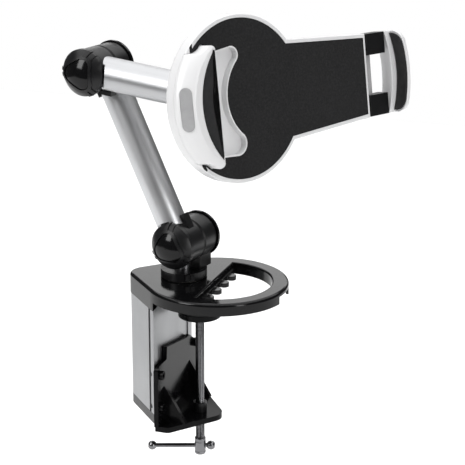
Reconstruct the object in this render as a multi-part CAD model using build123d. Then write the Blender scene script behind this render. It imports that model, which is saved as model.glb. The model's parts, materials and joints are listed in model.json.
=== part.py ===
"""Desk-clamp arm: a C-clamp with a ring shelf, a two-joint tube arm and an adjustable tablet holder.

Millimetres. +Z is up and +X points from the clamp's column over the desk. The origin is on the
screw axis, on the underside of the upper jaw pad, where the clamp rests on the desk.
"""
from build123d import *
from math import asin, cos, degrees, hypot, radians, sin, tan
import os

# ---- driving dimensions: clamp ----
RING_X = 16.0            # centre of the ring, ahead of the screw axis
PLATE_TOP = 12.0         # upper face of the top plate
PLATE_WALL = 4.0         # thickness of the plate's top wall
SKIRT_BOTTOM = 1.5
SKIRT_WALL = 2.5
RING_R = 62.0            # outer radius of the plate around the ring
HOLE_R = 48.0            # radius of the D-shaped hole
CHORD_X = RING_X - 2.0   # straight edge of the D-shaped hole
APEX_X = RING_X - 65.0   # centre of the plate's rounded rear end
APEX_R = 15.0
NOTCH_HALF = 13.0        # half width of the notch at the tip of the ring

REAR_SKIRT_BOTTOM = -6.0  # deeper skirt where the plate sits on the column
COLUMN_INSET = 0.6       # column wall stands this far inside the plate's outline
COLUMN_WALL = 3.0
COLUMN_FRONT = -25.0
COLUMN_BOTTOM = -102.0
LIP_WIDTH = 9.0
LIP_THICK = 3.0
FRONT_WALL = 2.4         # closing wall between the lips
FRONT_RECESS = 1.0
END_CAP_BOTTOM = -111.0
SCREW_BOSSES = ((-56.5, 0.0), (-37.0, 27.0), (-37.0, -27.0))
BOSS_R = 5.0
TIE_R = 1.9

JAW_TOP = -113.0
JAW_THICK = 5.0
WEB_THICK = 4.0
WEB_HALF = 47.0
WEB_TOP = -41.0
JAW_APEX_X = 8.0
JAW_APEX_R = 12.0
COLLAR_R = 6.0
COLLAR_TOP = -104.5
JAW_SCREW_Y = 41.0
JAW_SCREW_Z = (-66.0, -96.0)

PAD_TOP = -15.0          # face of the pressure pad at rest
PAD_THICK = 8.0
PAD_R = 19.0
SCREW_R = 4.0            # M8 clamp screw
HEAD_R = 5.0
HEAD_TOP = -139.0
HEAD_BOTTOM = -155.0
BAR_Z = -147.5
BAR_R = 2.0
BAR_ANGLE = 19.7
BAR_NEAR_END = 9.6       # ball centre beside the screw head
BAR_FAR_END = -43.0
BALL_R = 4.1

# ---- driving dimensions: arm ----
NECK_X = -14.5
JOINT_X = -12.0
NECK_R = 19.5
NECK_BASE = PLATE_TOP + 1.0
NECK_TOP = 20.0
SWIVEL_REST = -10.5      # direction of the arm plane at rest, about +Z from +X
JOINT_Z = 45.3           # height of the lower joint's axis
HUB_R = 19.0
HUB_WIDTH = 20.0         # one hub, along the joint axis
HUB_GAP = 0.8            # friction washer between two hubs
LOWER_LENGTH = 162.6     # joint axis to joint axis
LOWER_TILT = 26.5        # from the vertical, away from the desk
LOWER_TUBE_R = 13.0
UPPER_TUBE_R = 14.0
UPPER_TILT = 4.8         # below the horizontal
UPPER_LENGTH = 123.0     # elbow axis to ball centre
TUBE_WALL = 2.0
TUBE_GAP = 0.35          # between a tube's end and the round hubs
LUG_REACH = 22.0         # a hub's clamping lug ends this far from the joint axis
BOLT_R = 4.0
BORE_R = 4.05
CAP_R = 20.5
CAP_DOME = 9.0
KNOB_R = 19.8
KNOB_RISE = 9.5          # height of the knob's domed face
CAP_SEAT = 8.0           # depth of the seat of the knob's cap, from the hub

# ---- driving dimensions: ball joint and holder ----
BALL_JOINT_R = 11.0
LINER_R = 13.4
SOCKET_INNER_R = 13.5
SOCKET_OUTER_R = 17.0
STUD_R = 5.0
OPENING_HALF_ANGLE = 61.0
FACE_TURN = -30.0        # direction the holder faces, about +Z from +X
FACE_TILT = 8.3          # upward tilt of the holder's face
BALL_TO_FACE = 28.0
PAD_DISC_R = 63.3
RIM = 3.2
HOLDER_DEPTH = 14.0
SPLIT_DEPTH = 8.0        # front frame thickness
ARM_START = 54.0
ARM_END = 141.0
ARM_HALF_START = 37.4
ARM_HALF_END = 32.3
FOAM_THICK = 2.0
POCKET_DEPTH = 6.0
JAW_HEIGHT = 12.0
SLIDER_START = 142.0
BLOCK_END = 164.0
LIP_END = 171.0
JAW_BOW = 6.5            # the right jaw bows outwards by this much in its middle
CRESCENT_X = 15.3        # the left jaw pad's outer edge is an arc about this point
CRESCENT_R = 64.8
WINDOW_HALF = 17.0
SLIDER_HALF = 33.5
HOLDER_SCREWS = ((0, 57), (0, -57), (40, 40), (40, -40), (58, 0), (132, 0))


def direction(angle, rise=0.0):
    """Unit vector at an angle about +Z from +X, and at a rise above the horizontal."""
    return Vector(
        cos(radians(angle)) * cos(radians(rise)), sin(radians(angle)) * cos(radians(rise)), sin(radians(rise))
    )


ARM_DIR = direction(SWIVEL_REST)
AXIS_DIR = direction(SWIVEL_REST + 90.0)
UP = Vector(0, 0, 1)
LOWER_DIR = ARM_DIR * -sin(radians(LOWER_TILT)) + UP * cos(radians(LOWER_TILT))
UPPER_DIR = ARM_DIR * cos(radians(UPPER_TILT)) - UP * sin(radians(UPPER_TILT))
LOWER_JOINT = Vector(JOINT_X, 0, JOINT_Z)
ELBOW = LOWER_JOINT + LOWER_DIR * LOWER_LENGTH - AXIS_DIR * HUB_WIDTH
BALL_CENTRE = ELBOW - AXIS_DIR * (HUB_WIDTH / 2) + UPPER_DIR * UPPER_LENGTH
FACE_DIR = direction(FACE_TURN, FACE_TILT)
FACE_CENTRE = BALL_CENTRE + FACE_DIR * BALL_TO_FACE
FACE_RIGHT = direction(FACE_TURN + 90.0)
SOCKET_SCREWS = [(21 * cos(radians(turn)), 21 * sin(radians(turn))) for turn in (45, 135, 225, 315)]

HALF_HUB = AXIS_DIR * (HUB_WIDTH / 2)
# Hub frames: +Z along the joint axis away from the knob, +Y up.
# Tube frames: +Z along the tube from its joint.
LOWER_HUBS = Plane(origin=LOWER_JOINT, x_dir=ARM_DIR * -1, z_dir=AXIS_DIR).location
ELBOW_HUBS = Plane(origin=ELBOW, x_dir=ARM_DIR * -1, z_dir=AXIS_DIR).location
LOWER_TUBE = Plane(origin=LOWER_JOINT - HALF_HUB, x_dir=AXIS_DIR, z_dir=LOWER_DIR).location
LOWER_TUBE_END = Plane(origin=ELBOW + HALF_HUB, x_dir=AXIS_DIR, z_dir=LOWER_DIR * -1).location
UPPER_TUBE = Plane(origin=ELBOW - HALF_HUB, x_dir=AXIS_DIR, z_dir=UPPER_DIR).location
HOLDER = Plane(origin=FACE_CENTRE, x_dir=FACE_RIGHT, z_dir=FACE_DIR).location

NODES = {}


def keep(name, shape, place=None):
    """Record a finished node, moved into the assembly."""
    NODES[name] = shape if place is None else shape.moved(place)


def rod(radius, bottom, top, x=0.0, y=0.0):
    """Upright cylinder between two heights."""
    return Pos(x, y, (bottom + top) / 2) * Cylinder(radius, top - bottom)


def tube(outer, inner, bottom, top, x=0.0, y=0.0):
    """Upright ring between two heights."""
    return rod(outer, bottom, top, x, y) - rod(inner, bottom - 1, top + 1, x, y)


def slab(sketch, bottom, top):
    """Upright prism of a sketch between two heights."""
    return extrude(Pos(0, 0, bottom) * sketch, top - bottom, dir=(0, 0, 1))


def box(x0, x1, y0, y1, z0, z1):
    """Box between two corners."""
    return Pos((x0 + x1) / 2, (y0 + y1) / 2, (z0 + z1) / 2) * Box(x1 - x0, y1 - y0, z1 - z0)


def teardrop(inset):
    """Plate outline: the ring's circle and the rear circle joined by their tangents."""
    big, small = RING_R - inset, APEX_R - inset
    turn = asin((RING_R - APEX_R) / (RING_X - APEX_X))
    dx, dy = -sin(turn), cos(turn)
    corners = [
        (RING_X + big * dx, big * dy),
        (APEX_X + small * dx, small * dy),
        (APEX_X + small * dx, -small * dy),
        (RING_X + big * dx, -big * dy),
    ]
    circles = Pos(RING_X, 0) * Circle(big) + Pos(APEX_X, 0) * Circle(small)
    return circles + make_face(Polyline(*corners, close=True))


def hole_outline(growth):
    """The D-shaped hole, grown outward."""
    half_plane = Pos(CHORD_X - growth + 100, 0) * Rectangle(200, 200)
    return (Pos(RING_X, 0) * Circle(HOLE_R + growth)) & half_plane


# ---------------------------------------------------------------- clamp
def top_plate():
    """Hollow teardrop with a D-shaped hole, a deeper skirt at the rear and a notch in the ring."""
    ceiling = PLATE_TOP - PLATE_WALL
    outer = slab(teardrop(0), SKIRT_BOTTOM, PLATE_TOP)
    outer = fillet(outer.faces().sort_by(Axis.Z)[-1].edges(), 2.6)
    skirt = (teardrop(0) - teardrop(SKIRT_WALL)) & rear_window()
    outer += slab(skirt, REAR_SKIRT_BOTTOM, SKIRT_BOTTOM + 1)
    cavity = slab(teardrop(SKIRT_WALL) - hole_outline(SKIRT_WALL), SKIRT_BOTTOM - 1, ceiling)
    plate = outer - cavity - slab(hole_outline(0), SKIRT_BOTTOM - 1, PLATE_TOP + 1)
    rim = plate.faces().sort_by(Axis.Z)[-1].inner_wires()[0].edges()
    plate = fillet(rim, 1.5)
    notch_end = RING_X + RING_R + 5
    plate -= box(RING_X + HOLE_R - 8, notch_end, -NOTCH_HALF, NOTCH_HALF, SKIRT_BOTTOM - 1, ceiling)
    for x, y in SCREW_BOSSES:
        plate += rod(BOSS_R - 0.5, REAR_SKIRT_BOTTOM, ceiling + 0.5, x, y)
        plate -= rod(TIE_R, REAR_SKIRT_BOTTOM - 1, ceiling, x, y)
    return plate - rod(6.05, 0, PLATE_TOP + 5, NECK_X)


def cable_comb():
    """Scalloped strip along the hole's straight edge, with rounded teeth that hold cables or pens."""
    strip = box(CHORD_X - 0.1, CHORD_X + 2.5, -36, 44, 2.5, 8)
    for index in range(4):
        strip += slab(Pos(CHORD_X + 2.5, -27 + 19 * index) * SlotCenterToCenter(4, 9), 2.5, 6.5)
    return strip - box(CHORD_X - 20, CHORD_X, -60, 60, 0, 10)


def rear_window():
    """Half plane behind the column's open front."""
    return Pos(COLUMN_FRONT - 100, 0) * Rectangle(200, 200)


def column_grooves(depth, width):
    """Vertical grooves in the column's flanks, close to its front edges."""
    cutters = []
    flank = 90 + degrees(asin((RING_R - APEX_R) / (RING_X - APEX_X)))
    for side in (-1, 1):
        wall = Pos(RING_X, 0, 0) * Rot(0, 0, side * flank) * Pos(RING_R - COLUMN_INSET, side * 4.0, 0)
        cutters.append(wall * box(-depth, 0, -width / 2, width / 2, COLUMN_BOTTOM, REAR_SKIRT_BOTTOM))
    return cutters


def column():
    """Extruded column: tapered, with a round rear edge, a recessed front wall, lips and screw channels."""
    outside = teardrop(COLUMN_INSET) & rear_window()
    inside = teardrop(COLUMN_INSET + COLUMN_WALL) & rear_window()
    profile = outside - inside
    half = max(vertex.Y for vertex in outside.vertices())
    for side in (-1, 1):
        middle = side * (half - LIP_WIDTH / 2)
        profile += (Pos(COLUMN_FRONT - LIP_THICK / 2, middle) * Rectangle(LIP_THICK, LIP_WIDTH)) & outside
    wall_x = COLUMN_FRONT - FRONT_RECESS - FRONT_WALL / 2
    profile += (Pos(wall_x, 0) * Rectangle(FRONT_WALL, 2 * half)) & outside
    for x, y in SCREW_BOSSES:
        profile += (Pos(x, y) * Circle(BOSS_R)) & outside
        profile -= Pos(x, y) * Circle(TIE_R)
    body = slab(profile, COLUMN_BOTTOM, REAR_SKIRT_BOTTOM)
    for groove in column_grooves(1.8, 4.0):
        body -= groove
    for side in (-1, 1):
        for z in JAW_SCREW_Z:
            body -= Pos(COLUMN_FRONT - 2, side * JAW_SCREW_Y, z) * Rot(0, 90, 0) * Cylinder(2.0, 12)
    return body


def column_trim():
    """Dark strips pressed into the column's grooves."""
    inner = slab(teardrop(COLUMN_INSET + 1.0), COLUMN_BOTTOM - 1, REAR_SKIRT_BOTTOM + 1)
    return Compound(children=[strip & inner for strip in column_grooves(1.8, 4.0)])


def column_end_cap():
    cap = slab(teardrop(COLUMN_INSET) & rear_window(), END_CAP_BOTTOM, COLUMN_BOTTOM)
    for x, y in SCREW_BOSSES:
        cap -= rod(TIE_R, END_CAP_BOTTOM - 1, COLUMN_BOTTOM + 1, x, y)
        cap -= rod(3.4, END_CAP_BOTTOM - 1, END_CAP_BOTTOM + 2, x, y)
    return cap


def tie_screws():
    """Long screws that run up the column's channels and hold the end cap, column and top plate together."""
    screws = []
    for x, y in SCREW_BOSSES:
        head = rod(3.3, END_CAP_BOTTOM + 0.1, END_CAP_BOTTOM + 2, x, y)
        head -= box(x - 2.6, x + 2.6, y - 0.5, y + 0.5, END_CAP_BOTTOM, END_CAP_BOTTOM + 1)
        screws.append(head + rod(TIE_R, END_CAP_BOTTOM + 2, PLATE_TOP - PLATE_WALL - 0.5, x, y))
    return Compound(children=screws)


def upper_jaw_plate():
    """Steel plate under the top plate that carries the clamping load."""
    outline = make_face(Polyline((-19, -38), (10, -38), (10, 38), (-19, 38), close=True))
    return slab(outline, 5, 7.9) - rod(6.05, 0, 12, NECK_X) - rod(9, 0, 4.9, NECK_X)


def upper_jaw_pad():
    """Rubber pad that meets the desk."""
    outline = Pos(-4.5, 0) * RectangleRounded(28, 74, 5)
    return slab(outline, 0, 5) - rod(11, -1, 6, NECK_X)


def swivel_bolt():
    """Shouldered bolt that the neck turns on, held in the top plate and the steel plate."""
    return rod(9.5, 1.2, 4.9, NECK_X) + rod(6.0, 4.9, 24, NECK_X)


def swivel_washer():
    return tube(17, 6.1, PLATE_TOP + 0.05, NECK_BASE - 0.05, NECK_X)


def jaw_outline():
    """Lower jaw seen from above: a short straight back, then flanks to a rounded tip."""
    shoulder_x, shoulder_y = -13.0, 45.0
    gap = hypot(JAW_APEX_X - shoulder_x, shoulder_y)
    lean = degrees(asin(JAW_APEX_R / gap))
    base = degrees(asin(shoulder_y / gap))
    normal = 90.0 - base + lean
    tip = (JAW_APEX_X + JAW_APEX_R * cos(radians(normal)), JAW_APEX_R * sin(radians(normal)))
    corners = [
        (COLUMN_FRONT, -45), (shoulder_x, -shoulder_y), (tip[0], -tip[1]),
        (tip[0], tip[1]), (shoulder_x, shoulder_y), (COLUMN_FRONT, 45),
    ]
    return make_face(Polyline(*corners, close=True)) + Pos(JAW_APEX_X, 0) * Circle(JAW_APEX_R)


def lower_jaw():
    """Cast lower jaw: a web screwed to the column's lips and a plate that carries the screw."""
    plate = slab(jaw_outline(), JAW_TOP - JAW_THICK, JAW_TOP)
    plate = fillet(plate.edges().filter_by(Axis.Z).group_by(Axis.X)[1], 6)
    front = COLUMN_FRONT + WEB_THICK
    web = make_face(Polyline(
        (-WEB_HALF, JAW_TOP), (-WEB_HALF, WEB_TOP - 20), (-WEB_HALF + 4, WEB_TOP - 16), (-26, WEB_TOP - 16),
        (-25, WEB_TOP - 5), (22, WEB_TOP - 14), (30, WEB_TOP - 14), (WEB_HALF, WEB_TOP - 25),
        (WEB_HALF, JAW_TOP), close=True,
    ))
    web = extrude(Plane(origin=(COLUMN_FRONT, 0, 0), x_dir=(0, 1, 0), z_dir=(1, 0, 0)) * web, WEB_THICK)
    bend = make_face(Polyline((front, JAW_TOP), (front + 12, JAW_TOP), (front, JAW_TOP + 12), close=True))
    bend = extrude(Plane(origin=(0, 36, 0), x_dir=(1, 0, 0), z_dir=(0, -1, 0)) * bend, 72)
    bend -= Pos(front + 12, 0, JAW_TOP + 12) * Rot(90, 0, 0) * Cylinder(12, 100)
    jaw = plate + web + bend
    for side in (-1, 1):
        rib = make_face(Polyline((front, JAW_TOP), (front + 20, JAW_TOP), (front, JAW_TOP + 34), close=True))
        jaw += extrude(Plane(origin=(0, side * 31 + 2, 0), x_dir=(1, 0, 0), z_dir=(0, -1, 0)) * rib, 4)
        for z in JAW_SCREW_Z:
            jaw -= Pos(COLUMN_FRONT + 2, side * JAW_SCREW_Y, z) * Rot(0, 90, 0) * Cylinder(2.1, 10)
    return jaw - rod(COLLAR_R, JAW_TOP - 20, JAW_TOP + 20)


def jaw_nut():
    """Threaded collar pressed into the lower jaw."""
    body = rod(COLLAR_R, JAW_TOP - JAW_THICK, COLLAR_TOP)
    return body - rod(SCREW_R + 0.05, JAW_TOP - 20, COLLAR_TOP + 5)


def jaw_screws():
    """Cap screws that hold the lower jaw to the column's lips."""
    screws = []
    for side in (-1, 1):
        for z in JAW_SCREW_Z:
            at = Pos(COLUMN_FRONT + WEB_THICK, side * JAW_SCREW_Y, z) * Rot(0, 90, 0)
            head = rod(4, 0, 3) - slab(RegularPolygon(2.3, 6), 1.4, 4)
            screws.append((head + rod(2.0, -WEB_THICK - LIP_THICK, 0)).moved(at))
    return Compound(children=screws)


def pressure_pad():
    """Cup under the rubber face, with the socket for the screw's tip."""
    low = PAD_TOP - PAD_THICK
    cup = rod(PAD_R, low, PAD_TOP - 2.5) + rod(7, low - 3, low)
    cup = fillet(cup.edges().filter_by(GeomType.CIRCLE).group_by(Axis.Z)[1], 1.2)
    return cup - rod(SCREW_R + 0.2, low - 4, low + 0.1) - rod(4.6, low, low + 3.2)


def pressure_pad_face():
    face = rod(PAD_R - 0.6, PAD_TOP - 2.5, PAD_TOP)
    for radius in (6.0, 10.0, 14.0):
        face -= tube(radius + 0.6, radius - 0.6, PAD_TOP - 0.7, PAD_TOP + 1)
    return face


def clamp_screw():
    """M8 screw with a round cross-drilled head; its tip turns in the pressure pad."""
    tip = PAD_TOP - PAD_THICK
    shank = rod(SCREW_R, HEAD_TOP - 1, tip - 0.1) + rod(2.8, tip - 0.2, tip + 2.9)
    head = fillet(rod(HEAD_R, HEAD_BOTTOM, HEAD_TOP).edges(), 1.2)
    hole = Pos(0, 0, BAR_Z) * Rot(0, 0, BAR_ANGLE) * Rot(0, 90, 0) * Cylinder(BAR_R + 0.08, 20)
    return shank + head - hole


def tip_ring():
    """Retaining ring on the screw's tip, inside the pressure pad."""
    tip = PAD_TOP - PAD_THICK
    return tube(4.3, 2.8, tip + 0.6, tip + 1.8)


def tommy_bar():
    start, end = BAR_FAR_END, BAR_NEAR_END
    at = Pos(0, 0, BAR_Z) * Rot(0, 0, BAR_ANGLE) * Pos((start + end) / 2, 0, 0) * Rot(0, 90, 0)
    return at * Cylinder(BAR_R, end - start)


def tommy_balls():
    balls = []
    for offset in (BAR_FAR_END, BAR_NEAR_END):
        at = Pos(0, 0, BAR_Z) * Rot(0, 0, BAR_ANGLE) * Pos(offset, 0, 0)
        balls.append(at * (Sphere(BALL_R) - Rot(0, 90, 0) * Cylinder(BAR_R, 20)))
    return Compound(children=balls)


# ---------------------------------------------------------------- arm
def hub(low, high):
    """Round hub along the joint axis, with softened edges."""
    return chamfer(rod(HUB_R, low, high).edges().filter_by(GeomType.CIRCLE), 1.2)


def neck_hub():
    """Swivel base, yoke and far hub of the lower joint, in one casting."""
    base = rod(NECK_R - 1.5, NECK_BASE, NECK_TOP, NECK_X)
    yoke = box(-13, 13, NECK_TOP - JOINT_Z, 0, HUB_GAP / 2, HUB_WIDTH - 0.6)
    upper = (hub(HUB_GAP / 2, HUB_WIDTH) + yoke).moved(LOWER_HUBS)
    bore = rod(BORE_R, -1, HUB_WIDTH + 1).moved(LOWER_HUBS)
    return base + upper - bore - rod(6.08, 0, 24.2, NECK_X)


def neck_shells():
    """Two half covers clipped around the swivel base."""
    ring = tube(NECK_R + 0.6, NECK_R - 1.4, NECK_BASE, NECK_TOP, NECK_X)
    seam = Pos(NECK_X, 0, 0) * Rot(0, 0, -55) * box(-60, 60, -0.3, 0.3, 0, 40)
    tabs = Pos(NECK_X, 0, 0) * Rot(0, 0, -55) * (
        box(NECK_R - 1, NECK_R + 2.6, -4, 4, NECK_BASE + 1.5, NECK_TOP - 0.5)
        + box(-NECK_R - 2.6, -NECK_R + 1, -4, 4, NECK_BASE + 1.5, NECK_TOP - 0.5)
    )
    halves = (ring + tabs - rod(NECK_R - 1.4, 0, 40, NECK_X) - seam).solids()
    return Compound(children=list(halves))


def tube_hub(hubs, tube_place, far, tube_r):
    """Hub with a plug for the tube's end and a clamping lug beside it; far picks its half of the joint."""
    low, high = (HUB_GAP / 2, HUB_WIDTH) if far else (-HUB_WIDTH, -HUB_GAP / 2)
    lug = box(-4, 4, -tube_r - 4, -tube_r - 0.4, 8, LUG_REACH)
    arm = (rod(tube_r - TUBE_WALL, 0, 40) + lug).moved(tube_place)
    outside = rod(CAP_R + 0.8, low - 60, low).moved(hubs) + rod(CAP_R + 0.8, high, high + 60).moved(hubs)
    bore = rod(BORE_R, low - 1, high + 1).moved(hubs)
    return arm - outside + hub(low, high).moved(hubs) - bore


def round_end(hubs):
    """What a tube's end is cut back by: both hubs of its joint, the knob and the far cap."""
    ends = rod(CAP_R + 0.8, -60, -HUB_WIDTH) + rod(CAP_R + 0.8, HUB_WIDTH, 60)
    return (rod(HUB_R + TUBE_GAP, -60, 60) + ends).moved(hubs)


def arm_tube(radius, length, tube_place, joints):
    """Aluminium tube, cut to a saddle at each joint that it meets."""
    body = tube(radius, radius - TUBE_WALL, 0, length).moved(tube_place)
    for hubs in joints:
        body -= round_end(hubs)
    return max(body.solids(), key=lambda solid: solid.volume)


def friction_washer(hubs):
    return tube(16.5, BOLT_R + 0.3, -HUB_GAP / 2 + 0.06, HUB_GAP / 2).moved(hubs)


def joint_bolt(hubs):
    """Bolt held in the far hub, with its thread out at the knob."""
    return (rod(BOLT_R, -HUB_WIDTH - 7.9, HUB_WIDTH) + rod(7.5, HUB_WIDTH, HUB_WIDTH + 4)).moved(hubs)


def far_cap(hubs):
    """Round domed cover over the bolt head, with a stepped rim."""
    height = CAP_DOME
    curve = (CAP_R ** 2 + height ** 2) / (2 * height)
    dome = Pos(0, 0, HUB_WIDTH + 2 + height - curve) * Sphere(curve)
    dome = dome & rod(CAP_R, HUB_WIDTH, HUB_WIDTH + 30)
    cap = rod(CAP_R, HUB_WIDTH, HUB_WIDTH + 2.2) + dome
    cap -= rod(8, HUB_WIDTH - 1, HUB_WIDTH + 4.3)
    return cap.moved(hubs)


def knob_dome(growth):
    """Ball that the knob's face and its cap are cut from."""
    curve = (KNOB_R ** 2 + KNOB_RISE ** 2) / (2 * KNOB_RISE)
    return Pos(0, 0, -HUB_WIDTH - 4.3 - KNOB_RISE + curve) * Sphere(curve + growth)


def cap_outline(growth, turn):
    """Rounded triangle with one corner at the given angle."""
    corners = [Rot(0, 0, turn + 120 * index) * Pos(7, 0) * Circle(6.5 + growth) for index in range(3)]
    return make_hull([edge for corner in corners for edge in corner.edges()])


def knob(hubs, turn):
    """Hand knob: domed body with three raised lugs and a hexagon seat for its nut."""
    top = -HUB_WIDTH - 0.3
    body = rod(KNOB_R, top - 20, top) & knob_dome(0)
    for index in range(3):
        for side in (-1, 1):
            low, high = sorted((side * 1.1, side * 4.0))
            ridge = box(14.6, KNOB_R + 0.8, low, high, top - 20, top - 1) & knob_dome(0.9)
            body += Rot(0, 0, turn + 120 * index) * (ridge & rod(KNOB_R + 0.7, top - 20, top))
    body += slab(cap_outline(2.8, turn), top - 20, top - CAP_SEAT) & knob_dome(1.2)
    body -= slab(cap_outline(0.6, turn), top - 20, top - CAP_SEAT)
    body -= rod(BOLT_R + 0.3, top - 20, top + 1)
    body -= slab(RegularPolygon(6.6, 6), top - CAP_SEAT - 1, top - 4)
    return body.moved(hubs)


def knob_nut(hubs):
    """Hexagon nut pressed into the knob, running on the bolt's thread."""
    top = -HUB_WIDTH - 4.3
    return (slab(RegularPolygon(6.55, 6), top - 4, top) - rod(BOLT_R + 0.05, top - 8, top + 1)).moved(hubs)


def knob_cap(hubs, turn):
    """Domed three-cornered cap set in the knob's face."""
    top = -HUB_WIDTH - 0.3 - CAP_SEAT
    return (slab(cap_outline(0, turn), top - 20, top) & knob_dome(0.4)).moved(hubs)


def ball_stud():
    """End plug of the upper tube with its stud and ball."""
    end = UPPER_LENGTH - 32
    body = rod(UPPER_TUBE_R - TUBE_WALL, end - 16, end) + rod(UPPER_TUBE_R, end, end + 3)
    body += Pos(0, 0, end + 6) * Cone(11, STUD_R, 6)
    body += rod(STUD_R, end + 8, UPPER_LENGTH) + Pos(0, 0, UPPER_LENGTH) * Sphere(BALL_JOINT_R)
    return body


# ---------------------------------------------------------------- ball joint, in the holder's frame
def opening_cone():
    """Space around the stud, opening backwards from the ball's centre."""
    reach = 40.0
    cone = Pos(0, 0, -BALL_TO_FACE - reach / 2) * Cone(reach * tan(radians(OPENING_HALF_ANGLE)), 0.01, reach)
    return cone


def at_ball(shape):
    return Pos(0, 0, -BALL_TO_FACE) * shape


def ball_liner():
    """Nylon cup between the ball and its socket."""
    shell = at_ball(Sphere(LINER_R)) - at_ball(Sphere(BALL_JOINT_R + 0.06))
    return shell - opening_cone()


def ball_socket():
    """Socket housing screwed to the holder's back."""
    body = at_ball(Sphere(SOCKET_OUTER_R)) + rod(SOCKET_OUTER_R, -BALL_TO_FACE, -HOLDER_DEPTH - 3)
    body += rod(25, -HOLDER_DEPTH - 3, -HOLDER_DEPTH)
    body -= at_ball(Sphere(SOCKET_INNER_R)) + opening_cone()
    body -= box(-60, 60, -60, 60, -HOLDER_DEPTH, 20)
    for x, y in SOCKET_SCREWS:
        body -= rod(1.7, -HOLDER_DEPTH - 4, -HOLDER_DEPTH + 1, x, y)
    return body


def socket_screws():
    """Four screws through the socket's flange into the back tray."""
    screws = []
    for x, y in SOCKET_SCREWS:
        head = rod(2.9, -HOLDER_DEPTH - 4.8, -HOLDER_DEPTH - 3, x, y)
        screws.append(head + rod(1.5, -HOLDER_DEPTH - 3, -HOLDER_DEPTH + 3, x, y))
    return Compound(children=screws)


def lock_ring():
    """Knurled ring around the socket."""
    low, high = -BALL_TO_FACE - 1, -HOLDER_DEPTH - 5.2
    ring = tube(20.5, SOCKET_OUTER_R + 0.2, low, high)
    for index in range(24):
        ring -= Rot(0, 0, 15 * index) * Pos(20.9, 0, 0) * rod(1.0, low - 1, high + 1)
    return ring


# ---------------------------------------------------------------- holder, in its own frame
def body_outline(growth):
    """Disc and tapered arm; growth is measured from the foam's edge."""
    slope = (ARM_HALF_START - ARM_HALF_END) / (ARM_END - 2.3 - ARM_START)
    start, end = 20.0, ARM_END - 2.3 + growth * 0.75
    half_start = ARM_HALF_START + slope * (ARM_START - start) + growth
    half_end = ARM_HALF_END + growth
    corners = [(start, -half_start), (end, -half_end), (end, half_end), (start, half_start)]
    return Circle(PAD_DISC_R + growth) + make_face(Polyline(*corners, close=True))


def jaw_plan(growth):
    """Left jaw seen from the front: two rounded tips and a concave inner edge."""
    edge = -32.5 + growth
    high, low = 41.0 + growth, -44.0 - growth
    return make_face([
        Line((-80, high), (-47, high)),
        ThreePointArc((-47, high), (-42, high + 1.2), (-38.5, high + 3.8)),
        ThreePointArc((-38.5, high + 3.8), (edge - 1.2, high + 4.0), (edge, high + 0.5)),
        Line((edge, high + 0.5), (edge, 20)),
        ThreePointArc((edge, 20), (edge - 4, 0), (edge, -20)),
        Line((edge, -20), (edge, low - 2)),
        ThreePointArc((edge, low - 2), (edge - 1.2, low - 4.6), (-38, low - 4.4)),
        ThreePointArc((-38, low - 4.4), (-42, low - 1.4), (-47, low)),
        Line((-47, low), (-80, low)),
        Line((-80, low), (-80, high)),
    ])


def pocket_plan(growth):
    """Finger pocket beside the left jaw, with a concave right side."""
    outline = make_face([
        Line((-39, 37), (-9, 41)),
        ThreePointArc((-9, 41), (-1.9, 38), (-3.0, 31)),
        ThreePointArc((-3.0, 31), (-15.4, 4), (-1.4, -29)),
        ThreePointArc((-1.4, -29), (-0.8, -39), (-9, -43)),
        Line((-9, -43), (-39, -41)),
        Line((-39, -41), (-39, 37)),
    ])
    return offset(outline, amount=growth) if growth else outline


def hook_plan(growth):
    """Where the foam's two tails hook out through the rim beside the jaw."""
    tails = [((-46.4, 42.4), (-46.2, 48.2)), ((-44.9, -45.2), (-42.6, -49.6))]
    hooks = [SlotArc(Line(start, end), 2.6 + 2 * growth) for start, end in tails]
    return (hooks[0] + hooks[1]) & Circle(PAD_DISC_R + RIM - 0.5)


def front_frame():
    """White front shell: rim around the foam, the pocket's tub and the seat of the left jaw."""
    shell = slab(body_outline(RIM), -SPLIT_DEPTH, 0)
    shell = fillet(shell.faces().sort_by(Axis.Z)[-1].edges(), 1.0)
    shell -= slab(body_outline(0), -FOAM_THICK, 1)
    shell -= slab(body_outline(RIM - 2.5), -SPLIT_DEPTH - 1, -FOAM_THICK - 2.4)
    tub = slab(pocket_plan(2.0), -SPLIT_DEPTH, -FOAM_THICK) - slab(pocket_plan(0), -POCKET_DEPTH, 1)
    shell = shell - slab(pocket_plan(0), -POCKET_DEPTH, 1) + (tub & slab(body_outline(0), -20, 0))
    shell += slab(pocket_plan(1.0) - pocket_plan(0), -FOAM_THICK - 1, 0) & slab(body_outline(0), -20, 0)
    shell -= slab(jaw_plan(0.2), -FOAM_THICK, 30) + slab(hook_plan(0.1), -FOAM_THICK, 1)
    for x, y in HOLDER_SCREWS:
        shell += rod(3.6, -SPLIT_DEPTH, -FOAM_THICK - 1, x, y)
        shell -= rod(1.25, -SPLIT_DEPTH - 1, -FOAM_THICK - 2.4, x, y)
    return shell - rail_space(-SPLIT_DEPTH - 1, -4.7)


def rail_space(low, high):
    """Room for the slider's rails through the end of the arm."""
    return box(120, 160, 13, 30.4, low, high) + box(120, 160, -30.4, -13, low, high)


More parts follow.
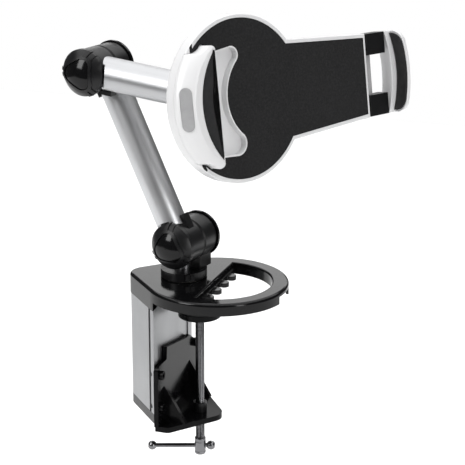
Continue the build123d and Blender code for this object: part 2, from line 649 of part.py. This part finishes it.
def back_shell():
    """White back tray with its rounded rear edge."""
    tray = slab(body_outline(RIM), -HOLDER_DEPTH, -SPLIT_DEPTH)
    tray = fillet(tray.faces().sort_by(Axis.Z)[0].edges(), 4.5)
    tray -= slab(body_outline(RIM - 2.5), -HOLDER_DEPTH + 2.4, -SPLIT_DEPTH + 1)
    for x, y in HOLDER_SCREWS:
        tray += rod(3.6, -HOLDER_DEPTH + 1, -SPLIT_DEPTH, x, y)
        tray -= rod(1.7, -HOLDER_DEPTH - 1, -SPLIT_DEPTH + 1, x, y)
        tray -= rod(2.9, -HOLDER_DEPTH - 1, -HOLDER_DEPTH + 2, x, y)
    for side in (-1, 1):
        tray += box(66, 137, side * 31.5 - 0.8, side * 31.5 + 0.8, -HOLDER_DEPTH + 2, -SPLIT_DEPTH)
    for x, y in SOCKET_SCREWS:
        tray += rod(3.4, -HOLDER_DEPTH + 1, -SPLIT_DEPTH, x, y)
        tray -= rod(1.5, -HOLDER_DEPTH - 1, -HOLDER_DEPTH + 3.05, x, y)
    return tray - rail_space(-11.6, -SPLIT_DEPTH + 1)


def holder_screws():
    """Screws from the back tray into the front frame's bosses."""
    screws = []
    for x, y in HOLDER_SCREWS:
        head = rod(2.8, -HOLDER_DEPTH + 0.3, -HOLDER_DEPTH + 2, x, y)
        screws.append(head + rod(1.25, -HOLDER_DEPTH + 1, -FOAM_THICK - 2.6, x, y))
    return Compound(children=screws)


def foam_pad():
    """Foam face of the disc and arm."""
    outline = (body_outline(-0.1) + hook_plan(0)) - jaw_plan(0.6) - pocket_plan(1.2)
    pad = slab(outline, -FOAM_THICK, 0)
    return max(pad.solids(), key=lambda solid: solid.volume)


def left_jaw():
    """Fixed jaw that rises from the disc's edge with a sloping outer wall."""
    outer = PAD_DISC_R + RIM
    profile = make_face([
        Line((20, -FOAM_THICK), (outer - 0.2, -FOAM_THICK)),
        Line((outer - 0.2, -FOAM_THICK), (outer, 0)),
        ThreePointArc((outer, 0), (outer - 4.4, 7.6), (55.8, JAW_HEIGHT)),
        Line((55.8, JAW_HEIGHT), (20, JAW_HEIGHT)),
        Line((20, JAW_HEIGHT), (20, -FOAM_THICK)),
    ])
    ring = revolve(Plane.XZ * profile, Axis.Z, 360)
    jaw = ring & slab(jaw_plan(0), -FOAM_THICK - 1, 30)
    jaw -= slab(crescent_plan(0), JAW_HEIGHT - 1.6, 30)
    return jaw - jaw_slot(0, 0.6) - jaw_slot(0, -12)


def crescent_plan(growth):
    """Left jaw pad: between the jaw's concave edge and one wide arc."""
    return (Pos(CRESCENT_X, 0) * Circle(CRESCENT_R + growth)) & jaw_plan(growth - 0.8)


def jaw_slot(growth, depth):
    """Rounded slot in the jaw's sloping wall, cut inwards by a depth."""
    face = Plane(origin=(-61.2, 0, 7.1), x_dir=(0, 1, 0), z_dir=(-0.72, 0, 0.69))
    return extrude(face * SlotOverall(34 + growth, 10 + growth), -depth)


def left_jaw_pad():
    return slab(crescent_plan(-0.2), JAW_HEIGHT - 1.6, JAW_HEIGHT + 0.4)


def jaw_grip():
    """Grey soft inlay in the jaw's slot."""
    return jaw_slot(-0.4, 0.6)


def slider_arms():
    """Black slider: two arms outside, rails inside the tapered arm, and a tie between the rails."""
    body = box(74, 80, -30, 30, -11.2, -5.2)
    for side in (-1, 1):
        low, high = sorted((side * 14, side * 30))
        body += box(74, SLIDER_START + 0.5, low, high, -11.2, -5.2)
        low, high = sorted((side * WINDOW_HALF, side * (SLIDER_HALF + 1.5)))
        body += box(SLIDER_START, BLOCK_END, low, high, -12, 0)
    return body


def slider_bar():
    """Rounded grey bar across the grip window."""
    return Pos(SLIDER_START + 5.0, 0, -7.5) * Rot(90, 0, 0) * Cylinder(4.0, 2 * WINDOW_HALF)


def jaw_band(inner, inner_bow, outer, half):
    """Band across the slider: its outer edge bows by JAW_BOW, its inner edge by its own bow."""
    if inner_bow:
        edge = ThreePointArc((inner, -half), (inner + inner_bow, 0), (inner, half))
    else:
        edge = Line((inner, -half), (inner, half))
    return make_face([
        edge,
        Line((inner, half), (outer, half)),
        ThreePointArc((outer, half), (outer + JAW_BOW, 0), (outer, -half)),
        Line((outer, -half), (inner, -half)),
    ])


def right_jaw():
    """White lip and upright jaw at the slider's end."""
    half = SLIDER_HALF + 1.5
    whole = slab(jaw_band(BLOCK_END, JAW_BOW, LIP_END + 3.5, half), -12, JAW_HEIGHT)
    step = slab(jaw_band(BLOCK_END - 15, 0, LIP_END, half), 0, JAW_HEIGHT + 5)
    return round_top(whole - step, half, JAW_HEIGHT)


def round_top(wall, half, height):
    """Round the two upper corners of an upright wall, seen along X."""
    radius = 9.0
    face = make_face([
        Line((-half, -15), (half, -15)),
        Line((half, -15), (half, height - radius)),
        RadiusArc((half, height - radius), (half - radius, height), -radius),
        Line((half - radius, height), (-half + radius, height)),
        RadiusArc((-half + radius, height), (-half, height - radius), -radius),
        Line((-half, height - radius), (-half, -15)),
    ])
    return wall & extrude(Plane(origin=(150, 0, 0), x_dir=(0, 1, 0), z_dir=(1, 0, 0)) * face, 60)


def right_jaw_pad():
    """Black rubber on the right jaw's inner face."""
    half = SLIDER_HALF - 0.5
    band = slab(jaw_band(LIP_END - 1.6, JAW_BOW, LIP_END, half), 0.4, JAW_HEIGHT - 0.4)
    return round_top(band, half, JAW_HEIGHT - 0.4)


def slider_springs():
    """Two tension springs in the arm that draw the slider in."""
    coil = Rot(0, 90, 0) * (Cylinder(2.6, 44) - Cylinder(1.8, 46))
    return Compound(children=[Pos(50, y, -8) * coil for y in (-8.0, 8.0)])


def spring_anchors():
    """Steel pins that hold the springs' ends in the back tray."""
    return Compound(children=[rod(1.2, -HOLDER_DEPTH + 2.4, -5, 26.5, y) for y in (-8.0, 8.0)])


def build_clamp():
    for make in (
        top_plate, cable_comb, column, column_trim, column_end_cap, tie_screws, upper_jaw_plate,
        upper_jaw_pad, swivel_bolt, swivel_washer, lower_jaw, jaw_nut, jaw_screws, pressure_pad,
        pressure_pad_face, tip_ring, clamp_screw, tommy_bar, tommy_balls,
    ):
        keep(make.__name__, make())


def build_arm():
    keep("neck_hub", neck_hub())
    keep("neck_shells", neck_shells())
    keep("lower_tube_hub", tube_hub(LOWER_HUBS, LOWER_TUBE, False, LOWER_TUBE_R))
    keep("lower_tube", arm_tube(LOWER_TUBE_R, LOWER_LENGTH, LOWER_TUBE, (LOWER_HUBS, ELBOW_HUBS)))
    keep("elbow_far_hub", tube_hub(ELBOW_HUBS, LOWER_TUBE_END, True, LOWER_TUBE_R))
    keep("elbow_near_hub", tube_hub(ELBOW_HUBS, UPPER_TUBE, False, UPPER_TUBE_R))
    keep("upper_tube", arm_tube(UPPER_TUBE_R, UPPER_LENGTH - 32, UPPER_TUBE, (ELBOW_HUBS,)))
    keep("ball_stud", ball_stud(), UPPER_TUBE)
    for name, hubs, turn in (("lower", LOWER_HUBS, 90), ("elbow", ELBOW_HUBS, 0)):
        keep(name + "_washer", friction_washer(hubs))
        keep(name + "_bolt", joint_bolt(hubs))
        keep(name + "_far_cap", far_cap(hubs))
        keep(name + "_knob", knob(hubs, turn))
        keep(name + "_knob_nut", knob_nut(hubs))
        keep(name + "_knob_cap", knob_cap(hubs, turn))


def build_holder():
    for make in (
        ball_liner, lock_ring, ball_socket, socket_screws, back_shell, front_frame, holder_screws, foam_pad,
        left_jaw, left_jaw_pad, jaw_grip, spring_anchors, slider_springs, slider_arms, slider_bar, right_jaw,
        right_jaw_pad,
    ):
        keep(make.__name__, make(), HOLDER)


def main():
    build_clamp()
    build_arm()
    build_holder()
    os.makedirs("parts", exist_ok=True)
    for name, shape in NODES.items():
        export_step(shape, f"parts/{name}.step")


main()
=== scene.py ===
"""Looks for the desk-clamp arm with a tablet holder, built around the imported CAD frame.

Metres, in the frame's own axes: +Z up, +X from the clamp's column over the desk.
Profiles, threads and springs are written in millimetres and turned into metres as they are made.
"""
import json
import math

import bmesh
import bpy
from mathutils import Matrix, Vector

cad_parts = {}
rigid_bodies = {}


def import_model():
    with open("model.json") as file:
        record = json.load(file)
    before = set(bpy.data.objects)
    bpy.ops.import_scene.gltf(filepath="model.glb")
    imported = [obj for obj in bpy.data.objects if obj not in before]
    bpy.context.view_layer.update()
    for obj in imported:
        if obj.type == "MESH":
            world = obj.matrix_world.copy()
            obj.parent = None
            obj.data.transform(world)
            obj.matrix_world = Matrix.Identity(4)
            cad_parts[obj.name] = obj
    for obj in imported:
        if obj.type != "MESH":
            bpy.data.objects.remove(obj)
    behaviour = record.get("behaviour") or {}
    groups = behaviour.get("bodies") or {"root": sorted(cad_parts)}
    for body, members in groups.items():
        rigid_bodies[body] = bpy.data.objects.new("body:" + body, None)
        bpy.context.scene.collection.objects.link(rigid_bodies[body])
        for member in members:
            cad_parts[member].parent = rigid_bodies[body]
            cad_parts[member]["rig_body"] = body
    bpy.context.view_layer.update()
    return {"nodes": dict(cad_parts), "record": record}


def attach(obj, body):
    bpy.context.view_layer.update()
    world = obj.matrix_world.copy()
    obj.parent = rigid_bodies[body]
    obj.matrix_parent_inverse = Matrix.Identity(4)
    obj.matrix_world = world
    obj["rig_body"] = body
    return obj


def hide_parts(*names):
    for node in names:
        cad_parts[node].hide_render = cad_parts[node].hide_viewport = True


MM = 0.001
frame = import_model()
nodes = frame["nodes"]


# ---------------------------------------------------------------- places shared with the CAD
def direction(angle, rise=0.0):
    """Unit vector at an angle from +X about +Z, and a rise from the level, in degrees."""
    a, r = math.radians(angle), math.radians(rise)
    return Vector((math.cos(a) * math.cos(r), math.sin(a) * math.cos(r), math.sin(r)))


def place(origin, x_dir, z_dir):
    """Matrix of a local frame."""
    z = z_dir.normalized()
    x = (x_dir - z * x_dir.dot(z)).normalized()
    y = z.cross(x)
    return Matrix.Translation(origin) @ Matrix((x, y, z)).transposed().to_4x4()


UP = Vector((0, 0, 1))
ARM_DIR = direction(-10.5)
AXIS_DIR = direction(79.5)
LOWER_TILT = math.radians(26.5)
UPPER_TILT = math.radians(4.8)
LOWER_DIR = -ARM_DIR * math.sin(LOWER_TILT) + UP * math.cos(LOWER_TILT)
UPPER_DIR = ARM_DIR * math.cos(UPPER_TILT) - UP * math.sin(UPPER_TILT)
LOWER_JOINT = Vector((-12, 0, 45.3)) * MM
LOWER_REACH = 162.6
UPPER_REACH = 123
ELBOW_STEP = 20
TUBE_STEP = 10
BALL_TO_FACE = 28
ELBOW = LOWER_JOINT + LOWER_DIR * LOWER_REACH * MM - AXIS_DIR * ELBOW_STEP * MM
BALL_CENTRE = ELBOW - AXIS_DIR * TUBE_STEP * MM + UPPER_DIR * UPPER_REACH * MM
FACE_DIR = direction(-30, 8.3)
FACE_CENTRE = BALL_CENTRE + FACE_DIR * BALL_TO_FACE * MM
FACE_RIGHT = direction(60)

HOLDER = place(FACE_CENTRE, FACE_RIGHT, FACE_DIR)
LOWER_TUBE = place(LOWER_JOINT - AXIS_DIR * TUBE_STEP * MM, AXIS_DIR, LOWER_DIR)
UPPER_TUBE = place(ELBOW - AXIS_DIR * TUBE_STEP * MM, AXIS_DIR, UPPER_DIR)


# ---------------------------------------------------------------- materials
def shade(colour, share):
    """A colour made darker or lighter, and never brighter than white."""
    return tuple(min(c * share, 1.0) for c in colour)


class Nodes:
    """Short names for the nodes of one material."""

    def __init__(self, name, **values):
        self.material = bpy.data.materials.new(name)
        self.material.use_nodes = True
        self.tree = self.material.node_tree
        self.shader = self.tree.nodes["Principled BSDF"]
        self.coords = self.tree.nodes.new("ShaderNodeTexCoord").outputs["Object"]
        for key, value in values.items():
            self.shader.inputs[key.replace("_", " ")].default_value = value

    def node(self, kind, source, socket, **values):
        """A new node of a kind, with one socket linked to a source and others set to values."""
        node = self.tree.nodes.new("ShaderNode" + kind)
        for key, value in values.items():
            node.inputs[key.replace("_", " ")].default_value = value
        self.tree.links.new(source, node.inputs[socket])
        return node

    def stretched(self, scale, matrix=None):
        """Object coordinates, turned into a piece's own frame and stretched."""
        source = self.coords
        if matrix is not None:
            turned = matrix.inverted()
            moved = self.node(
                "Mapping", source, "Vector", Location=turned.to_translation(), Rotation=turned.to_euler()
            )
            source = moved.outputs["Vector"]
        return self.node("Mapping", source, "Vector", Scale=scale).outputs["Vector"]

    def noise(self, scale, detail, rough, vector=None):
        """Cloudy noise, with its scale in bumps per metre."""
        source = vector or self.coords
        cloud = self.node("TexNoise", source, "Vector", Scale=scale, Detail=detail, Roughness=rough)
        return cloud.outputs["Fac"]

    def cells(self, scale):
        """Distance to the nearest of many scattered points, for pores."""
        return self.node("TexVoronoi", self.coords, "Vector", Scale=scale).outputs["Distance"]

    def span(self, value, low, high):
        """The middle of a noise, where most of its values are, spread over low to high."""
        limits = {"From_Min": 0.3, "From_Max": 0.7, "To_Min": low, "To_Max": high}
        return self.node("MapRange", value, "Value", **limits).outputs["Result"]

    def ramp(self, value, stops):
        """A colour from a value, between stops of (position, colour)."""
        node = self.node("ValToRGB", value, "Fac")
        elements = node.color_ramp.elements
        while len(elements) < len(stops):
            elements.new(0.5)
        for element, (position, colour) in zip(elements, stops):
            element.position = position
            element.color = (*colour, 1)
        return node.outputs["Color"]

    def bump(self, height, strength, distance, normal=None):
        """A surface normal tilted by a height, on top of another one if it is given."""
        node = self.node("Bump", height, "Height", Strength=strength, Distance=distance)
        if normal is not None:
            self.tree.links.new(normal, node.inputs["Normal"])
        return node.outputs["Normal"]

    def use(self, key, output):
        """Link an output to one of the shader's sockets."""
        self.tree.links.new(output, self.shader.inputs[key])


def moulded(name, colour, rough, grain, depth, spread=0.12, specular=0.5, wave=0.08):
    """Moulded plastic or powder coat: slight colour drift, uneven gloss and a fine surface grain."""
    m = Nodes(name, Specular_IOR_Level=specular)
    drift = m.noise(scale=35, detail=4, rough=0.6)
    haze = m.noise(scale=120, detail=5, rough=0.65)
    pebble = m.noise(scale=grain, detail=3, rough=0.6)
    swell = m.noise(scale=60, detail=2, rough=0.5)
    m.use("Base Color", m.ramp(drift, ((0.3, shade(colour, 1 - spread)), (0.7, shade(colour, 1 + spread)))))
    m.use("Roughness", m.span(haze, low=rough * (1 - spread), high=rough * (1 + spread * 1.5)))
    fine = m.bump(pebble, strength=min(0.35, spread * 3), distance=depth)
    m.use("Normal", m.bump(swell, strength=wave, distance=0.0002, normal=fine))
    return m.material


def brushed(name, colour, rough, matrix=None):
    """Anodised metal, with fine streaks along Z of the frame or of the piece's own matrix."""
    m = Nodes(name, Metallic=1.0)
    along_z = m.stretched((1.0, 1.0, 0.02), matrix)
    streak = m.noise(scale=1400, detail=3, rough=0.6, vector=along_z)
    haze = m.noise(scale=25, detail=3, rough=0.5)
    speckle = m.noise(scale=5200, detail=2, rough=0.5)
    m.use("Base Color", m.ramp(streak, ((0.3, shade(colour, 0.93)), (0.68, colour))))
    m.use("Roughness", m.span(haze, low=rough * 0.92, high=rough * 1.08))
    grain = m.bump(speckle, strength=0.12, distance=0.00003)
    m.use("Normal", m.bump(streak, strength=0.1, distance=0.00003, normal=grain))
    return m.material


def bright(name, colour, rough):
    """Plated metal with faint haze and polishing marks."""
    m = Nodes(name, Metallic=1.0)
    drift = m.noise(scale=70, detail=4, rough=0.6)
    haze = m.noise(scale=900, detail=4, rough=0.7)
    marks = m.noise(scale=1800, detail=3, rough=0.6)
    m.use("Base Color", m.ramp(drift, ((0.25, shade(colour, 0.85)), (0.6, colour))))
    m.use("Roughness", m.span(haze, low=rough * 0.8, high=rough * 1.5))
    m.use("Normal", m.bump(marks, strength=0.08, distance=0.00004))
    return m.material


def foam(name, dark, middle, light):
    """Closed-cell foam: near black with a fine mottle of pores."""
    m = Nodes(name, Specular_IOR_Level=0.15, Sheen_Weight=0.04, Sheen_Roughness=0.6)
    mottle = m.noise(scale=620, detail=5, rough=0.75)
    haze = m.noise(scale=18, detail=3, rough=0.5)
    m.use("Base Color", m.ramp(mottle, ((0.32, dark), (0.5, middle), (0.72, light))))
    m.use("Roughness", m.span(haze, low=0.8, high=0.95))
    pores = m.bump(m.cells(scale=1500), strength=0.4, distance=0.00012)
    m.use("Normal", m.bump(mottle, strength=0.4, distance=0.00015, normal=pores))
    return m.material


def rubber(name, colour, rough=0.62, drift=0.25):
    """Soft rubber with a fine matt grain."""
    m = Nodes(name, Specular_IOR_Level=0.3)
    cloud = m.noise(scale=160, detail=4, rough=0.6)
    haze = m.noise(scale=240, detail=4, rough=0.6)
    grain = m.noise(scale=3000, detail=3, rough=0.6)
    m.use("Base Color", m.ramp(cloud, ((0.3, shade(colour, 1 - drift)), (0.7, shade(colour, 1 + drift)))))
    m.use("Roughness", m.span(haze, low=rough * 0.88, high=min(rough * 1.15, 1)))
    m.use("Normal", m.bump(grain, strength=0.35, distance=0.00006))
    return m.material


BLACK = (0.003, 0.003, 0.0033)
SOFT_BLACK = (0.006, 0.006, 0.0065)
MAT = {
    "black_gloss": moulded("gloss_black", BLACK, rough=0.12, grain=1800, depth=0.00002, specular=0.22),
    "black_satin": moulded("satin_black", SOFT_BLACK, rough=0.32, grain=2600, depth=0.00006, specular=0.28),
    "black_metal": moulded("powder_black", BLACK, rough=0.16, grain=1500, depth=0.00004, specular=0.08),
    "white_gloss": moulded(
        "gloss_white", (0.69, 0.69, 0.695), rough=0.28, grain=1600, depth=0.00002, spread=0.015, wave=0.015
    ),
    "grey_soft": rubber("soft_grey", (0.33, 0.33, 0.335), rough=0.5, drift=0.06),
    "rubber_black": rubber("black_rubber", (0.012, 0.012, 0.0125)),
    "nylon": moulded("natural_nylon", (0.68, 0.66, 0.6), rough=0.4, grain=1500, depth=0.00004),
    "chrome": bright("chrome_plate", (0.20, 0.20, 0.207), rough=0.13),
    "steel": bright("zinc_steel", (0.42, 0.42, 0.435), rough=0.28),
    "foam_black": foam("foam_face", SOFT_BLACK, (0.011, 0.011, 0.0115), (0.021, 0.021, 0.022)),
    "aluminium": brushed("column_aluminium", (0.34, 0.344, 0.352), rough=0.42),
}
# Both tubes are one anodised aluminium in two tones: a lighter copy on the lower tube and a darker one on the
# upper tube. This is painted light and painted shade, standing in for how the lamps fall on each tube.
TUBE_LIT_AND_SHADED = {
    "lower_tube": brushed("lower_tube_aluminium_painted_light", (0.56, 0.565, 0.575), rough=0.38, matrix=LOWER_TUBE),
    "upper_tube": brushed("upper_tube_aluminium_painted_shade", (0.42, 0.424, 0.433), rough=0.4, matrix=UPPER_TUBE),
}
SLOT_OF = {part["node"]: part["material_slot"] for part in frame["record"]["subparts"]}
for name, slot_name in SLOT_OF.items():
    materials = nodes[name].data.materials
    materials.clear()
    materials.append(TUBE_LIT_AND_SHADED.get(name, MAT[slot_name]))


# ---------------------------------------------------------------- tools for the detailed pieces
SHADING_EDGE = math.radians(42)
ROUNDED_EDGE = math.radians(60)
FLAT_WITHIN = math.radians(1.0)
FACING = 0.999
SAME_POINT = 2e-6
GROOVE_STEPS = (1.2, 0.0), (0.35, -0.4), (0.35, 0.4)  # each an inset and a depth, in millimetres


def make_object(name, data):
    obj = bpy.data.objects.new(name, data)
    bpy.context.scene.collection.objects.link(obj)
    return obj


def stand_in(name, mesh, node):
    """A detailed piece that is shown instead of a CAD node, on its body and in its finish."""
    for face in mesh.polygons:
        face.use_smooth = True
    mesh.set_sharp_from_angle(angle=SHADING_EDGE)
    mesh.materials.append(MAT[SLOT_OF[node]])
    piece = make_object(name, mesh)
    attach(piece, nodes[node]["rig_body"])
    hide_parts(node)
    return piece


def cut_groove(bm, facing):
    """A shallow groove just inside the edge of the largest face that looks along facing."""
    for inset, depth in GROOVE_STEPS:
        top = max(bm.faces, key=lambda face: face.calc_area() if face.normal.dot(facing) > FACING else 0.0)
        bmesh.ops.inset_region(bm, faces=[top], thickness=inset * MM, depth=depth * MM, use_even_offset=False)


def softened(node, width, segments=3, groove_on=None):
    """Copy of a CAD node with its sharp edges rounded, and a groove in the face that looks along groove_on."""
    bm = bmesh.new()
    bm.from_mesh(nodes[node].data)
    bmesh.ops.remove_doubles(bm, verts=bm.verts, dist=SAME_POINT)
    bmesh.ops.dissolve_limit(bm, angle_limit=FLAT_WITHIN, verts=bm.verts, edges=bm.edges)
    if groove_on is not None:
        cut_groove(bm, groove_on)
    sharp = [e for e in bm.edges if len(e.link_faces) == 2 and e.calc_face_angle(0) > ROUNDED_EDGE]
    bmesh.ops.bevel(
        bm, geom=sharp, offset=width * MM, offset_type="OFFSET", segments=segments, profile=0.5,
        affect="EDGES", clamp_overlap=True, loop_slide=True,
    )
    mesh = bpy.data.meshes.new(node + "_soft")
    bm.to_mesh(mesh)
    bm.free()
    piece = stand_in(node + "_soft", mesh, node)
    piece.modifiers.new("weights", "WEIGHTED_NORMAL").keep_sharp = True
    return piece


def tube_faces(rows, around):
    """Faces between rows of points that each go once round, with a face over each end."""
    faces = []
    for row in range(rows - 1):
        for step in range(around):
            a, b = row * around + step, row * around + (step + 1) % around
            faces.append((a, b, b + around, a + around))
    faces.append(tuple(reversed(range(around))))
    faces.append(tuple(range((rows - 1) * around, rows * around)))
    return faces


def lathe(profile, turns=48):
    """Vertices and faces of a closed profile of (radius, height) turned about +Z."""
    vertices, faces = [], []
    rows = len(profile)
    for step in range(turns):
        angle = 2 * math.pi * step / turns
        vertices += [(r * math.cos(angle) * MM, r * math.sin(angle) * MM, z * MM) for r, z in profile]
        here, beyond = step * rows, (step + 1) % turns * rows
        faces += [(here + i, beyond + i, beyond + i + 1, here + i + 1) for i in range(rows - 1)]
    return vertices, faces


def thread(core, crest, pitch, low, high, around=24, rows=6):
    """Vertices and faces of a rod with a helical thread between two heights, with rows of points per turn."""
    crest_width, flank_slope = 1.45, 4
    vertices = []
    count = int((high - low) / pitch * rows)
    for row in range(count + 1):
        z = low + (high - low) * row / count
        for step in range(around):
            share = (z / pitch - step / around) % 1.0
            rise = min(1.0, max(0.0, crest_width - abs(share - 0.5) * flank_slope))
            radius = core + (crest - core) * rise
            angle = 2 * math.pi * step / around
            vertices.append((radius * math.cos(angle) * MM, radius * math.sin(angle) * MM, z * MM))
    return vertices, tube_faces(count + 1, around)


def coil(radius, wire, turns, start, end, y, z, around=14, ring=6):
    """Vertices and faces of a tension spring along X, with around points per turn and ring round its wire."""
    vertices = []
    steps = turns * around
    for step in range(steps + 1):
        angle = 2 * math.pi * step / around
        x = start + (end - start) * step / steps
        for index in range(ring):
            side = 2 * math.pi * index / ring
            r = radius + wire * math.cos(side)
            point = (x + wire * math.sin(side), y + r * math.cos(angle), z + r * math.sin(angle))
            vertices.append(tuple(v * MM for v in point))
    return vertices, tube_faces(steps + 1, ring)


def joined(*parts):
    """One list of vertices and one of faces, from several of each."""
    vertices, faces = [], []
    for some_vertices, some_faces in parts:
        start = len(vertices)
        vertices += some_vertices
        faces += [tuple(start + i for i in face) for face in some_faces]
    return vertices, faces


def new_mesh(name, vertices, faces, matrix=None):
    """A mesh with its normals outwards, moved by a matrix if one is given."""
    mesh = bpy.data.meshes.new(name)
    mesh.from_pydata(vertices, [], faces)
    if matrix is not None:
        mesh.transform(matrix)
    bm = bmesh.new()
    bm.from_mesh(mesh)
    bmesh.ops.remove_doubles(bm, verts=bm.verts, dist=1e-7)
    bmesh.ops.recalc_face_normals(bm, faces=bm.faces)
    bm.to_mesh(mesh)
    bm.free()
    return mesh


# ---------------------------------------------------------------- detailed pieces
foam_face = softened("foam_pad", 0.6)
softened("left_jaw_pad", 0.35, segments=2, groove_on=FACE_DIR)
for node, width, segments in (
    ("right_jaw_pad", 0.5, 3), ("upper_jaw_pad", 0.9, 3), ("pressure_pad_face", 0.3, 2), ("jaw_grip", 0.2, 2),
    ("lower_jaw", 0.7, 3), ("slider_arms", 0.9, 3), ("right_jaw", 0.9, 3), ("left_jaw", 0.4, 3),
    ("column_end_cap", 0.7, 3), ("upper_jaw_plate", 0.4, 3), ("cable_comb", 0.5, 3),
):
    softened(node, width, segments)

THREAD_CORE, THREAD_CREST, THREAD_PITCH = 3.35, 4.0, 1.25
THREAD_LOW, THREAD_HIGH = -140.0, -23.1
SCREW_TIP = ((0, -20.1), (2.4, -20.1), (2.8, -20.5), (2.8, -23.2), (0, -23.2))
SCREW_HEAD = (
    (0, -139.0), (3.9, -139.0), (4.5, -139.2), (4.85, -139.7), (5.0, -140.3), (5.0, -142.0), (4.7, -142.3),
    (4.7, -143.0), (5.0, -143.3), (5.0, -151.4), (4.7, -151.7), (4.7, -152.4), (5.0, -152.7), (5.0, -153.8),
    (4.85, -154.4), (4.5, -154.85), (3.9, -155.0), (0, -155.0),
)
screw_rod = thread(THREAD_CORE, THREAD_CREST, THREAD_PITCH, THREAD_LOW, THREAD_HIGH)
screw_shape = joined(screw_rod, lathe(SCREW_TIP), lathe(SCREW_HEAD))
stand_in("clamp_screw_threaded", new_mesh("clamp_screw_threaded", *screw_shape), "clamp_screw")

SPRING_RADIUS, SPRING_WIRE, SPRING_TURNS = 2.2, 0.4, 48
SPRING_START, SPRING_END = 28.5, 71.5
SPRING_SIDE, SPRING_DEPTH = 8, -8
springs = [
    coil(SPRING_RADIUS, SPRING_WIRE, SPRING_TURNS, SPRING_START, SPRING_END, side * SPRING_SIDE, SPRING_DEPTH)
    for side in (-1, 1)
]
spring_mesh = new_mesh("slider_springs_coiled", *joined(*springs), HOLDER)
stand_in("slider_springs_coiled", spring_mesh, "slider_springs")


# ---------------------------------------------------------------- floor, light and camera
FLOOR_HALF = 1.35
FLOOR_PLACE = (0, 0.35, -0.245)
SKY_AS_LIGHT = 0.12
SKY_AS_BACKGROUND = 1.0
AIM = (0.0, 0.0, 0.08)
OVERHEAD_AIM = (0.0, 0.8, 0.0)
CAMERA_PLACE = (0.4151, -1.1086, 0.4293)
CAMERA_TURN, CAMERA_FALL, CAMERA_ROLL = 19.158, 17.642, 0.2  # degrees
CAMERA_LENS = 112.26
CAMERA_SENSOR = 36.0


def pale_floor():
    """A square of pale floor under the object, with a faint drift of tone."""
    mesh = bpy.data.meshes.new("floor")
    bm = bmesh.new()
    bmesh.ops.create_grid(bm, x_segments=2, y_segments=2, size=FLOOR_HALF)
    bm.to_mesh(mesh)
    bm.free()
    floor = make_object("floor", mesh)
    floor.location = FLOOR_PLACE
    pale = Nodes("pale_floor", Roughness=0.8)
    tones = (0.3, (0.93, 0.93, 0.93)), (0.7, (0.96, 0.96, 0.96))
    pale.use("Base Color", pale.ramp(pale.noise(scale=3, detail=3, rough=0.5), tones))
    mesh.materials.append(pale.material)


def white_sky():
    """A white world, seen at full strength behind the object but dimmer as a light on it."""
    world = bpy.data.worlds.new("studio")
    bpy.context.scene.world = world
    world.use_nodes = True
    sky = world.node_tree
    rays = sky.nodes.new("ShaderNodeLightPath")
    strength = sky.nodes.new("ShaderNodeMapRange")
    strength.inputs["To Min"].default_value = SKY_AS_LIGHT
    strength.inputs["To Max"].default_value = SKY_AS_BACKGROUND
    sky.links.new(rays.outputs["Is Camera Ray"], strength.inputs["Value"])
    background = sky.nodes["Background"]
    sky.links.new(strength.outputs["Result"], background.inputs["Strength"])
    background.inputs["Color"].default_value = (1, 1, 1, 1)


def soft_light(name, at, target, size, power):
    """A rectangular light that looks at a target, and that the camera doesn't see."""
    data = bpy.data.lights.new(name, "AREA")
    data.shape = "RECTANGLE"
    data.size, data.size_y = size
    data.energy = power
    light = make_object(name, data)
    light.location = at
    light.rotation_euler = (Vector(target) - Vector(at)).to_track_quat("-Z", "Y").to_euler()
    light.visible_camera = False


def look_from_camera():
    """The scene's camera, looking down at the object from the front right, with a slight roll."""
    data = bpy.data.cameras.new("camera")
    data.sensor_width = CAMERA_SENSOR
    data.lens = CAMERA_LENS
    camera = make_object("camera", data)
    back = direction(CAMERA_TURN - 90, CAMERA_FALL)
    right = UP.cross(back).normalized()
    up = back.cross(right)
    roll = math.radians(CAMERA_ROLL)
    turned_right = right * math.cos(roll) + up * math.sin(roll)
    turned_up = up * math.cos(roll) - right * math.sin(roll)
    turn = Matrix((turned_right, turned_up, back)).transposed().to_4x4()
    camera.matrix_world = Matrix.Translation(CAMERA_PLACE) @ turn
    bpy.context.scene.camera = camera


pale_floor()
white_sky()
soft_light("overhead", (0.0, 0.8, 2.3), OVERHEAD_AIM, size=(4.8, 4.8), power=150)
soft_light("key", (-0.8, -1.2, 0.9), AIM, size=(0.55, 0.9), power=15)
soft_light("fill", (1.5, -1.0, 0.4), AIM, size=(0.4, 1.2), power=10)
soft_light("rear_sheen", (-0.7, 2.4, 0.85), AIM, size=(2.4, 0.7), power=9)
bpy.context.scene.view_settings.view_transform = "Standard"
look_from_camera()
